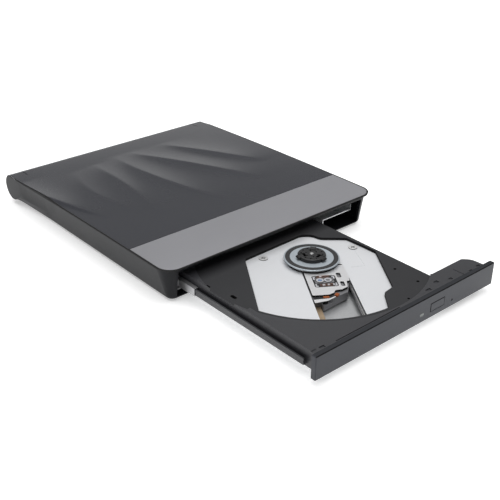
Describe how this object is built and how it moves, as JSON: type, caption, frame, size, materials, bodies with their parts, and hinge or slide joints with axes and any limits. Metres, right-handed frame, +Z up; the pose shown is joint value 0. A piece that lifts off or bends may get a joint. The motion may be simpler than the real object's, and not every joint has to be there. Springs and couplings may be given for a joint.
{
  "type": "external disc drive",
  "caption": "Flat desktop disc drive with a rippled top and a silver strip, its loading tray pulled out to show the turntable, silver deck and moving lens sled.",
  "frame": {"origin": "on the table plane under the casing, at the casing's middle plane, midway between the casing's front edge and its rear roll", "axes": "+Z up from the table, -Y out of the tray's mouth towards the user, +X to the user's right when they face the drive"},
  "size_m": [0.1501, 0.2613, 0.0216],
  "materials": {
    "casing_lower": "moulded lower shell in dark grey, fine matte texture",
    "casing_top": "dark grey metallic paint over the moulded, rippled cover, satin to glossy",
    "trim": "pale silver satin strip",
    "rubber": "matte black",
    "steel": "plain bright steel",
    "sheet_metal": "zinc-plated sheet",
    "rail_metal": "plain rolled sheet",
    "dark_plastic": "black moulded plastic",
    "tray_plastic": "dark grey moulded plastic, fine matte",
    "bezel_plastic": "dark grey moulded plastic, satin",
    "light_plastic": "pale translucent plastic",
    "component_black": "black moulded plastic",
    "board": "green circuit board",
    "deck_paint": "pale silver-white coated sheet, satin",
    "turntable_metal": "pale blue-grey coated plate, satin",
    "sled_metal": "dark die-cast metal, matte",
    "sled_cover_metal": "bright tinned sheet",
    "lens": "clear coated glass with a blue sheen",
    "flex": "amber polyimide ribbon, slightly glossy"
  },
  "bodies": {
    "casing": {"lower_shell": "casing_lower", "top_cover": "casing_top", "trim_plate": "trim", "rubber_feet": "rubber", "casing_screws": "steel", "drive_housing": "sheet_metal", "drive_lid": "sheet_metal", "lid_screws": "steel", "left_guide": "dark_plastic", "right_guide": "dark_plastic", "main_flex": "flex", "main_board": "board", "board_chips": "component_black", "drive_connector": "component_black", "bridge_board": "board", "bridge_chip": "component_black", "bridge_connector": "component_black", "bridge_screws": "steel", "port_shell": "steel", "port_tongue": "component_black"},
    "left_slide_rail": {"left_rail": "rail_metal"},
    "right_slide_rail": {"right_rail": "rail_metal"},
    "tray_unit": {"tray": "tray_plastic", "tray_bottom_plate": "sheet_metal", "bezel": "bezel_plastic", "light_pipe": "light_plastic", "eject_switch": "component_black", "tray_board": "board", "latch_solenoid": "component_black", "deck_plate": "deck_paint", "deck_screws": "steel", "grommets": "rubber", "chassis": "sheet_metal", "guide_rods": "steel", "sled_motor": "steel", "spindle_base": "sheet_metal", "stator": "component_black", "sled_flex": "flex"},
    "button": {"eject_button": "bezel_plastic"},
    "latch": {"latch_lever": "dark_plastic"},
    "spindle": {"spindle_shaft": "steel", "rotor_cup": "steel", "turntable": "turntable_metal", "grip_ring": "rubber", "hub": "component_black"},
    "claw_a": {"claw_1": "component_black"},
    "claw_b": {"claw_2": "component_black"},
    "claw_c": {"claw_3": "component_black"},
    "sled": {"sled_base": "sled_metal", "sled_cover": "sled_cover_metal", "sled_bracket": "sled_cover_metal", "flex_tabs": "flex"},
    "lens_unit": {"lens_holder": "component_black", "lenses": "lens"},
    "screw": {"lead_screw": "steel"}
  },
  "joints": [
    {"name": "tray_slide", "type": "slide", "parent": "casing", "child": "tray_unit", "axis": [0, -1, 0], "range_m": [-0.0962, 0.02], "deforming": ["main_flex"]},
    {"name": "left_rail_slide", "type": "slide", "parent": "casing", "child": "left_slide_rail", "axis": [0, -1, 0], "range_m": [-0.03848, 0.008]},
    {"name": "right_rail_slide", "type": "slide", "parent": "casing", "child": "right_slide_rail", "axis": [0, -1, 0], "range_m": [-0.03848, 0.008]},
    {"name": "eject_button_press", "type": "slide", "parent": "tray_unit", "child": "button", "axis": [0, 1, 0], "range_m": [0, 0.0006], "stiffness_N_per_m": 800},
    {"name": "latch_lever_swing", "type": "hinge", "parent": "tray_unit", "child": "latch", "pos_m": [0.0262, -0.161, 0.0069], "axis": [0, 0, 1], "range_deg": [-16, 0]},
    {"name": "spindle_spin", "type": "hinge", "parent": "tray_unit", "child": "spindle", "pos_m": [0, -0.1089, 0.012], "axis": [0, 0, 1], "continuous": true},
    {"name": "claw_1_slide", "type": "slide", "parent": "spindle", "child": "claw_a", "axis": [-0.766, -0.6428, 0], "range_m": [0, 0.0011], "stiffness_N_per_m": 400},
    {"name": "claw_2_slide", "type": "slide", "parent": "spindle", "child": "claw_b", "axis": [0.9397, -0.342, 0], "range_m": [0, 0.0011]},
    {"name": "claw_3_slide", "type": "slide", "parent": "spindle", "child": "claw_c", "axis": [-0.1736, 0.9848, 0], "range_m": [0, 0.0011]},
    {"name": "sled_travel", "type": "slide", "parent": "tray_unit", "child": "sled", "axis": [-0.5432, -0.8396, 0], "range_m": [0, 0.036], "deforming": ["sled_flex"]},
    {"name": "lens_focus", "type": "slide", "parent": "sled", "child": "lens_unit", "axis": [0, 0, 1], "range_m": [-0.0003, 0.0003], "stiffness_N_per_m": 60},
    {"name": "lead_screw_turn", "type": "hinge", "parent": "tray_unit", "child": "screw", "pos_m": [-0.01986, -0.11272, 0.0086], "axis": [-0.5432, -0.8396, 0], "range_deg": [0, 4320]}
  ],
  "couplings": [
    {"joint": "left_rail_slide", "follows": "tray_slide", "ratio": 0.4},
    {"joint": "right_rail_slide", "follows": "tray_slide", "ratio": 0.4},
    {"joint": "lead_screw_turn", "follows": "sled_travel", "rad_per_m": 2094.4},
    {"joint": "claw_2_slide", "follows": "claw_1_slide", "ratio": 1},
    {"joint": "claw_3_slide", "follows": "claw_1_slide", "ratio": 1}
  ]
}
